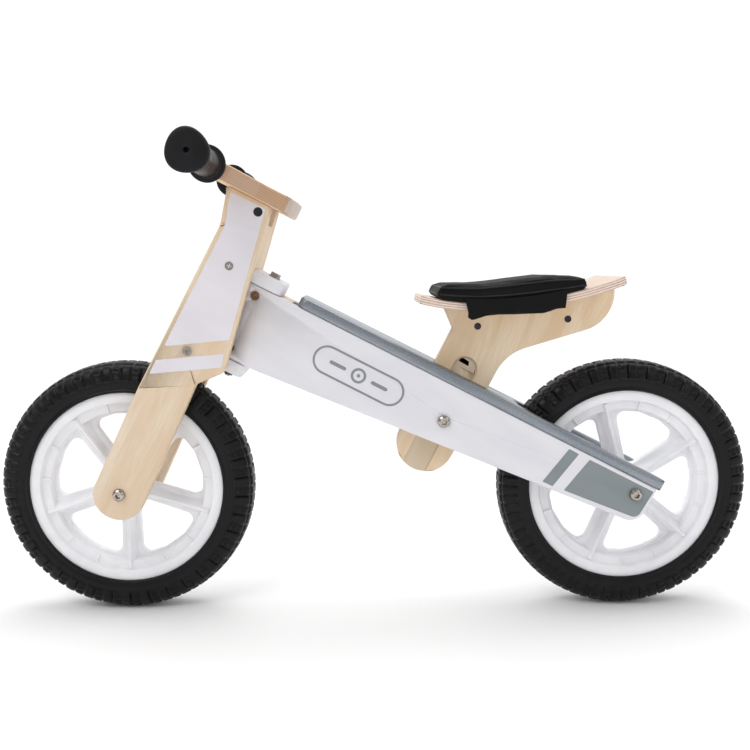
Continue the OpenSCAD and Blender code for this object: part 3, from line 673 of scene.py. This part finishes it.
for side, word in ((-1, "Left"), (1, "Right")):
    low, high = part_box("grip_" + word.lower())
    centre = (low + high) / 2 / mm
    around = gripLook["around"]
    points, faces = [], []
    for far, radius, lobes in gripLook["profile"]:
        for k in range(around):
            turn = 2 * math.pi * k / around
            reach = radius + lobes * gripLook["lobe"] * math.cos(
                3 * (turn - math.radians(gripLook["lobeTurn"])))
            points.append((centre.x + reach * math.cos(turn),
                           side * (gripLook["start"] + far), centre.z + reach * math.sin(turn)))
    for i in range(len(gripLook["profile"]) - 1):
        for k in range(around):
            j = (k + 1) % around
            faces.append([i * around + k, i * around + j, (i + 1) * around + j,
                          (i + 1) * around + k])
    faces.append(list(range(around)))
    grip = meshObject("handGrip" + word, points, faces, "steerer", gripRubber)
    grip.data.materials.append(gripSleeveWoodReflection)
    for face in grip.data.polygons:
        far = abs(face.center.y) / mm - gripLook["start"]
        face.material_index = int(gripLook["sleeve"][0] < far < gripLook["sleeve"][1])
    grip.data.set_sharp_from_angle(angle=math.radians(60))
    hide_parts("grip_" + word.lower())
print("handlebar built")


# Wheels

tyreLook = {
    "blocks": 38, "samples": 18, "rise": 1.9,
    # radii of the shoulder blocks and of their small arms, and where the top bars begin
    "shoulder": (123.4, 139.8), "arms": ((124.4, 128.0), (130.2, 133.6), (135.8, 139.8)),
    "topRadius": 140.9, "treadStart": 122.5, "edgeSoft": 0.9,
    # half of the section: radius and distance from the wheel's middle plane
    "section": [
        (110.6, 18.9), (110.1, 19.2), (110.0, 20.6), (110.5, 21.8), (111.5, 22.3), (112.7, 22.2),
        (113.6, 21.4), (114.5, 21.1), (115.8, 21.6), (118.5, 22.1), (122.0, 22.2), (124, 22.1),
        (126, 21.9), (128, 21.6), (130, 21.2), (132, 20.6), (134, 19.8), (136, 18.7),
        (137.6, 17.4), (139.0, 15.8), (140.2, 13.9), (141.1, 11.8), (141.8, 9.7), (142.2, 7.7),
        (142.5, 5.5), (142.65, 3.2), (142.7, 1.4), (142.7, 0.6),
    ],
}


def ramp(value, edge, soft):
    part = min(1, max(0, (value - edge) / soft + 0.5))
    return part * part * (3 - 2 * part)


def pulse(value, start, end, soft):
    return ramp(value, start, soft) * (1 - ramp(value, end, soft))


def treadRise(part, radius, across):
    # Height of the tread over the section: shoulder blocks, small three-armed blocks, top bars
    # part is the share of one block's pitch, and across the distance from the middle plane
    soft = tyreLook["edgeSoft"]
    shoulder = pulse(radius, *tyreLook["shoulder"], soft)
    block = pulse(part, 0.05, 0.46, 0.05)
    spine = pulse(part, 0.56, 0.67, 0.05)
    arms = sum(pulse(radius, start, end, soft) for start, end in tyreLook["arms"])
    arms *= pulse(part, 0.6, 0.93, 0.05)
    rise = shoulder * max(block, 0.85 * spine, 0.85 * arms)
    top = ramp(radius, tyreLook["topRadius"], soft)
    bar = pulse(part, 0.02, 0.5, 0.06) + pulse(part, 0.58, 0.93, 0.06)
    return max(rise, top * bar * ramp(across, 1.0, soft))


def buildTyre(name, node, body):
    low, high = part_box(node)
    centre = (low + high) / 2 / mm
    half = []
    for (r0, y0), (r1, y1) in zip(tyreLook["section"], tyreLook["section"][1:]):
        steps = max(1, round(math.hypot(r1 - r0, y1 - y0) / (1.05 if r0 >= 122 else 4)))
        half += [(r0 + (r1 - r0) * k / steps, y0 + (y1 - y0) * k / steps) for k in range(steps)]
    half.append(tyreLook["section"][-1])
    section = [(r, -y) for r, y in half] + [(r, y) for r, y in reversed(half)]
    count = len(section)
    normals = []
    for i in range(count):
        (r0, y0), (r1, y1) = section[i - 1], section[(i + 1) % count]
        length = math.hypot(r1 - r0, y1 - y0)
        normals.append((-(y0 - y1) / length, (r0 - r1) / length))
    rings = tyreLook["blocks"] * tyreLook["samples"]
    rises = [[treadRise(k / tyreLook["samples"], r, abs(y)) if r > tyreLook["treadStart"] else 0
              for r, y in section] for k in range(tyreLook["samples"])]
    # The right side's pattern runs half a block behind the left's
    shift = tyreLook["samples"] // 2
    points = []
    for k in range(rings):
        turn = 2 * math.pi * k / rings
        for i, (r, y) in enumerate(section):
            rise = rises[(k + (shift if y > 0 else 0)) % tyreLook["samples"]][i]
            reach = r + normals[i][0] * rise * tyreLook["rise"]
            wide = y + normals[i][1] * rise * tyreLook["rise"]
            points.append((centre.x + reach * math.cos(turn), wide,
                           centre.z + reach * math.sin(turn)))
    faces = [[k * count + i, k * count + (i + 1) % count,
              (k + 1) % rings * count + (i + 1) % count, (k + 1) % rings * count + i]
             for k in range(rings) for i in range(count)]
    made = meshObject(name, points, faces, body, tyreFoam)
    made.data.set_sharp_from_angle(angle=math.radians(70))
    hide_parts(node)
    return made


rimLook = {
    "edgeRound": 1.1, "webFace": 4.9, "ridgeTop": [(25, 21.5), (34, 17.6), (50, 15.6),
                                                   (70, 15.2), (86, 16.6), (96.5, 18.4)],
    "ridgeBase": [(25, 8.0), (34, 6.4), (50, 6.0), (70, 7.2), (86, 9.4), (96.5, 11.0)],
    "ridgeLand": 1.3, "ribRadii": (87.6, 98.2), "ribHalf": 0.9, "ribTop": 15.6, "ribFoot": 8,
    "ribTurns": (24, 48), "firstSpoke": {"front": -90, "rear": -112},
}


def buildRimDetail(name, node, body, firstSpoke):
    # Ridges along the spokes and small ribs in the recess of the rim, on both faces
    low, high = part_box(node)
    centre = (low + high) / 2 / mm
    points, faces = [], []

    def place(turn, reach, wide, deep):
        points.append((centre.x + reach * math.cos(turn) - wide * math.sin(turn), deep,
                       centre.z + reach * math.sin(turn) + wide * math.cos(turn)))

    def skin(first, sections, wide):
        for i in range(sections - 1):
            for j in range(wide):
                a = first + i * wide + j
                b = first + i * wide + (j + 1) % wide
                faces.append([a, b, b + wide, a + wide])
        faces.append(list(range(first, first + wide)))
        faces.append(list(range(first + (sections - 1) * wide, first + sections * wide)))

    for side in (-1, 1):
        for spoke in range(5):
            turn = math.radians(firstSpoke + 72 * spoke)
            first = len(points)
            for (reach, top), (_, base) in zip(rimLook["ridgeTop"], rimLook["ridgeBase"]):
                land, foot = rimLook["ridgeLand"], rimLook["webFace"]
                for wide, deep in (
                    (-base, foot - 2), (-base, foot), (-base * 0.72, foot + (top - foot) * 0.12),
                    (-land - 1.6, foot + (top - foot) * 0.62), (-land, top - 0.5),
                    (-land * 0.5, top), (land * 0.5, top), (land, top - 0.5),
                    (land + 1.6, foot + (top - foot) * 0.62),
                    (base * 0.72, foot + (top - foot) * 0.12), (base, foot), (base, foot - 2),
                ):
                    place(turn, reach, wide, side * deep)
            skin(first, len(rimLook["ridgeTop"]), 12)
            for offset in rimLook["ribTurns"]:
                first = len(points)
                for reach in rimLook["ribRadii"]:
                    half, top, foot = rimLook["ribHalf"], rimLook["ribTop"], rimLook["ribFoot"]
                    for wide, deep in (
                        (-half * 1.8, foot), (-half, top - 0.4), (-half * 0.4, top),
                        (half * 0.4, top), (half, top - 0.4), (half * 1.8, foot),
                    ):
                        place(turn + math.radians(offset), reach, wide, side * deep)
                skin(first, 2, 6)
    return meshObject(name, points, faces, body, rimPlastic)


for word, firstSpoke in rimLook["firstSpoke"].items():
    body = word + "_wheel"
    buildTyre(word + "TyreTreaded", word + "_tyre", body)
    softened(word + "_rim", word + "RimMoulding", body, rimPlastic,
             rimLook["edgeRound"], 2)
    buildRimDetail(word + "RimRibs", word + "_rim", body, firstSpoke)
    repaint(zinc, word + "_bearings")
print("wheels built")


# Seat: post, bent board, padded cover

seatLook = {
    "postRound": 1.2, "boardRound": 1.5, "bendMiddle": 115, "frontBend": 295,
    "rearBend": 430, "low": 347.5, "thick": 9,
    "inset": 2.4, "voxel": 3.4, "pressure": 4.0, "cap": 2.4, "wrinkle": 0.55,
    "crownRoom": 1.2, "cornerDrop": 0.6,
    # At the front and rear end: pull at the middle, pull at the corners, length it fades over
    "endPull": ((1.2, 9.5, 35), (-1.5, 3.0, 20)),
    # Heights of the two sewn cords, as parts of the cushion's side
    "piping": 0.75, "pipingParts": {"Upper": 0.78, "Lower": 0.34},
    # The cushion's top edge: height, where it begins to rise, its slope and its highest
    "topEdge": (376.4, 112, 0.121, 385.2),
}
softened("seat_post", "seatPostPlank", "seat", postWood, seatLook["postRound"])
softened("seat_board", "seatBoardBent", "seat", seatBoardWood,
         seatLook["boardRound"])
repaint(blackened, "seat_barrel_nuts")
repaint(zinc, "seat_screws")


def boardHeight(x, rise=0):
    # Height of the bent board over the ground, rise millimetres above its underside
    bend = seatLook["frontBend"] if x < seatLook["bendMiddle"] else seatLook["rearBend"]
    reach = x - seatLook["bendMiddle"]
    return seatLook["low"] + bend - math.sqrt((bend - rise) ** 2 - reach ** 2)


def buildCushion():
    made = bpy.data.objects.new("seatCushionPadded", nodes["seat_cushion"].data.copy())
    bpy.context.scene.collection.objects.link(made)
    low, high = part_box("seat_cushion")
    shrink = 1 - 2 * seatLook["inset"] * mm / (high.y - low.y)
    for v in made.data.vertices:
        v.co.y *= shrink
        # Rounded corners in plan, more at the front
        wide = abs(v.co.y) / (high.y * shrink)
        for end, side, (pull, depth, reach) in zip((low.x, high.x), (1, -0.8),
                                                   seatLook["endPull"]):
            near = max(0, 1 - abs(v.co.x - end) / (reach * mm))
            v.co.x += side * near * (pull + depth * max(0, wide - 0.35) ** 2 / 0.42) * mm
        # The cover's corners pull in and down
        v.co.z -= max(0, wide - 0.6) / 0.4 * seatLook["cornerDrop"] * mm
        # Room for the pressure to crown the top
        v.co.z -= max(0, v.normal.z) * seatLook["crownRoom"] * mm
    grid = made.modifiers.new("evenMesh", "REMESH")
    grid.mode, grid.voxel_size = "VOXEL", seatLook["voxel"] * mm
    applyModifiers(made)
    rest = [v.co.copy() for v in made.data.vertices]
    held = made.vertex_groups.new(name="held")
    held.add([v.index for v in made.data.vertices if v.normal.z < -0.45], 1.0, "REPLACE")
    cloth = made.modifiers.new("inflated", "CLOTH")
    cloth.settings.use_pressure = True
    cloth.settings.uniform_pressure_force = seatLook["pressure"]
    cloth.settings.vertex_group_mass = "held"
    cloth.settings.effector_weights.gravity = 0
    cloth.settings.quality = 5
    for step in range(1, 21):
        bpy.context.scene.frame_set(step)
    applyModifiers(made)
    for v, home in zip(made.data.vertices, rest):
        moved = v.co - home
        if moved.length > seatLook["cap"] * mm:
            v.co = home + moved.normalized() * seatLook["cap"] * mm
    bpy.context.scene.frame_set(1)
    smooth = made.modifiers.new("finer", "SUBSURF")
    smooth.levels = smooth.render_levels = 1
    applyModifiers(made)
    # Soft wrinkles, strongest near the sewn edge
    made.data.update()
    for v in made.data.vertices:
        edge = min(1, max(0.15, (abs(v.co.y) / high.y - 0.45) * 2.2))
        if v.normal.z > -0.5:
            folds = noise.noise(Vector((v.co.x * 38, v.co.y * 90, v.co.z * 90)))
            folds += 0.5 * noise.noise(Vector((v.co.x * 95, v.co.y * 60, v.co.z * 200 + 7)))
            v.co += v.normal * folds * edge * seatLook["wrinkle"] * mm
    made.data.materials.clear()
    made.data.materials.append(coverCloth)
    for face in made.data.polygons:
        face.material_index = 0
    made.data.shade_smooth()
    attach(made, "seat")
    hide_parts("seat_cushion")
    return made


cushion = buildCushion()
print("cushion built")


def pipingRing(name, part, radius):
    # A cord sewn round the cushion's side, found by looking inward from outside it
    low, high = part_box("seat_cushion")
    middle = (low + high) / 2
    spots = []
    steps = 120
    for k in range(steps):
        turn = 2 * math.pi * k / steps
        # Aim along a rounded rectangle so the corners get their share
        x = middle.x + (high.x - low.x) * 0.62 * math.copysign(abs(math.cos(turn)) ** 0.45,
                                                               math.cos(turn))
        y = (high.y - low.y) * 0.66 * math.copysign(abs(math.sin(turn)) ** 0.45, math.sin(turn))
        inside = min(max(x, low.x + 8 * mm), high.x - 8 * mm)
        floor = boardHeight(inside / mm, seatLook["thick"]) * mm
        edge, riseFrom, slope, highest = seatLook["topEdge"]
        roof = min(edge + max(0, inside / mm - riseFrom) * slope, highest) * mm
        z = floor + (roof - floor) * part
        start = Vector((x, y, z))
        goal = Vector((inside, max(-0.045, min(0.045, y)), z))
        found, spot, normal, _ = cushion.ray_cast(start, (goal - start).normalized())
        if found:
            spots.append(spot + normal * radius * 0.15 * mm)
    points, faces, around = [], [], 8
    for i, spot in enumerate(spots):
        ahead = (spots[(i + 1) % len(spots)] - spots[i - 1]).normalized()
        out = ahead.cross(Vector((0, 0, 1))).normalized()
        up = out.cross(ahead)
        for k in range(around):
            turn = 2 * math.pi * k / around
            points.append((spot + (out * math.cos(turn) + up * math.sin(turn)) * radius * mm) / mm)
    for i in range(len(spots)):
        for k in range(around):
            a, b = i * around + k, i * around + (k + 1) % around
            j = (i + 1) % len(spots) * around
            faces.append([a, b, j + (k + 1) % around, j + k])
    return meshObject(name, points, faces, "seat", threadCloth)


for word, part in seatLook["pipingParts"].items():
    pipingRing("cushionPiping" + word, part, seatLook["piping"])

flapLook = {
    # station along the flap, height of its hem, how far it tucks under the board
    "hem": [(98.0, 341.5, 3), (101.5, 338.9, 3), (104, 338.7, 3), (109, 340.4, 4),
            (118, 343.4, 6), (131, 344.6, 8), (150, 344.9, 8), (166, 345.4, 8), (180, 346.0, 7),
            (187, 348.2, 6), (193, 350.6, 4), (203, 351.4, 3)],
    "topFront": 94.6, "topRear": 204.0, "rows": 16, "columns": 60, "thick": 1.3,
    # Distance from the middle plane, swell below the board's edge, and height of the waves
    "halfSpan": 61.4, "swell": 0.9, "wave": 0.7, "aboveBoard": 4.5,
}


def buildFlap(name, side):
    points, faces = [], []
    rows, columns = flapLook["rows"], flapLook["columns"]
    hem = flapLook["hem"]
    for i in range(columns + 1):
        part = i / columns
        hemX = hem[0][0] + (hem[-1][0] - hem[0][0]) * part
        for a, b in zip(hem, hem[1:]):
            if a[0] <= hemX <= b[0] + 1e-6:
                mix = (hemX - a[0]) / (b[0] - a[0])
                hemZ, tuck = a[1] + (b[1] - a[1]) * mix, a[2] + (b[2] - a[2]) * mix
        topX = flapLook["topFront"] + (flapLook["topRear"] - flapLook["topFront"]) * part
        for j in range(rows + 1):
            down = j / rows
            x = topX + (hemX - topX) * min(1, down * 1.3)
            top = boardHeight(x, seatLook["thick"]) + flapLook["aboveBoard"]
            z = top + (hemZ - top) * down
            low = boardHeight(x) - 0.8
            y = flapLook["halfSpan"]
            y += flapLook["swell"] * math.sin(math.pi * min(1, down * 1.1))
            if z < low:
                y -= (low - z) / max(1, low - hemZ) * tuck * 0.55
            wave = noise.noise(Vector((x * 0.06, z * 0.11, side * 3.0)))
            y += flapLook["wave"] * wave * (0.3 + down)
            points.append((x, side * y, z))
    for i in range(columns):
        for j in range(rows):
            a = i * (rows + 1) + j
            faces.append([a, a + 1, a + rows + 2, a + rows + 1])
    made = meshObject(name, points, faces, "seat", coverCloth)
    thick = made.modifiers.new("clothThickness", "SOLIDIFY")
    thick.thickness, thick.offset = flapLook["thick"] * mm, 0
    applyModifiers(made)
    made.data.shade_smooth()
    return made


leftFlap = buildFlap("coverFlapLeft", -1)
buildFlap("coverFlapRight", 1)
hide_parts("seat_skirts")
print("seat built")


# Floor, light, camera

studioLook = {
    # The floor is half an ellipse behind the bike and reaches far in front of it, in metres
    "floorHalf": (3, 1.25), "floorFront": 9,
    "behind": 1.06, "infront": 0.42,
    # name, place, aimed at, size, power
    "lights": [
        ("keyLight", (-1.3, -1.5, 2.2), (0, 0, 0.25), 1.3, 22),
        ("fillLight", (1.7, -1.7, 1.3), (0.1, 0, 0.25), 1.3, 7),
        ("topLight", (0.1, 0.5, 2.4), (0, 0, 0.2), 1.8, 23),
    ],
    "cameraPlace": (-0.01759, -0.96819, 0.39571), "cameraLens": 40.613, "sensorWidth": 36,
    "cameraWay": (0.016824, 0.991745, -0.127118), "cameraRight": (0.99985, -0.01719, -0.00178),
}
floorMesh = bpy.data.meshes.new("studioFloor")
halfX, halfY = studioLook["floorHalf"]
outline = [(halfX * math.cos(math.pi * k / 24), halfY * math.sin(math.pi * k / 24), 0)
           for k in range(25)]
front = studioLook["floorFront"]
outline += [(-front, -front, 0), (front, -front, 0)]
floorMesh.from_pydata(outline, [], [list(range(len(outline)))])
floor = bpy.data.objects.new("studioFloor", floorMesh)
bpy.context.scene.collection.objects.link(floor)
material, tree, where = startMaterial("studioFloorMatt")
finishMaterial(tree, {"Base Color": hexColour("#FAFAFA"), "Roughness": 0.9,
                      "Specular IOR Level": 0.1})
floorMesh.materials.append(material)

# The backdrop side is bright and the side the light comes from is dimmer
world = bpy.data.worlds.new("studioWorld")
bpy.context.scene.world = world
world.use_nodes = True
sky = world.node_tree
where = addNode(sky, "TexCoord")
split = addNode(sky, "SeparateXYZ", {0: where.outputs["Generated"]})
glow = remap(sky, split.outputs["Y"], -0.5, 0.25, studioLook["infront"], studioLook["behind"])
sky.links.new(glow, sky.nodes["Background"].inputs[1])
sky.nodes["Background"].inputs[0].default_value = hexColour("#FFFFFF")
bpy.context.scene.view_settings.view_transform = "Standard"

for name, place, aim, size, power in studioLook["lights"]:
    lamp = bpy.data.lights.new(name, "AREA")
    lamp.size, lamp.energy = size, power
    made = bpy.data.objects.new(name, lamp)
    made.location = place
    made.rotation_mode = "QUATERNION"
    made.rotation_quaternion = (Vector(aim) - Vector(place)).to_track_quat("-Z", "Y")
    bpy.context.scene.collection.objects.link(made)

cameraData = bpy.data.cameras.new("studioCamera")
cameraData.lens, cameraData.sensor_width = studioLook["cameraLens"], studioLook["sensorWidth"]
camera = bpy.data.objects.new("studioCamera", cameraData)
look = Vector(studioLook["cameraWay"]).normalized()
rightward = Vector(studioLook["cameraRight"]).normalized()
upward = rightward.cross(look).normalized()
turned = Matrix((rightward, upward, -look)).transposed().to_4x4()
camera.matrix_world = Matrix.Translation(studioLook["cameraPlace"]) @ turned
bpy.context.scene.collection.objects.link(camera)
bpy.context.scene.camera = camera
print("studio built")
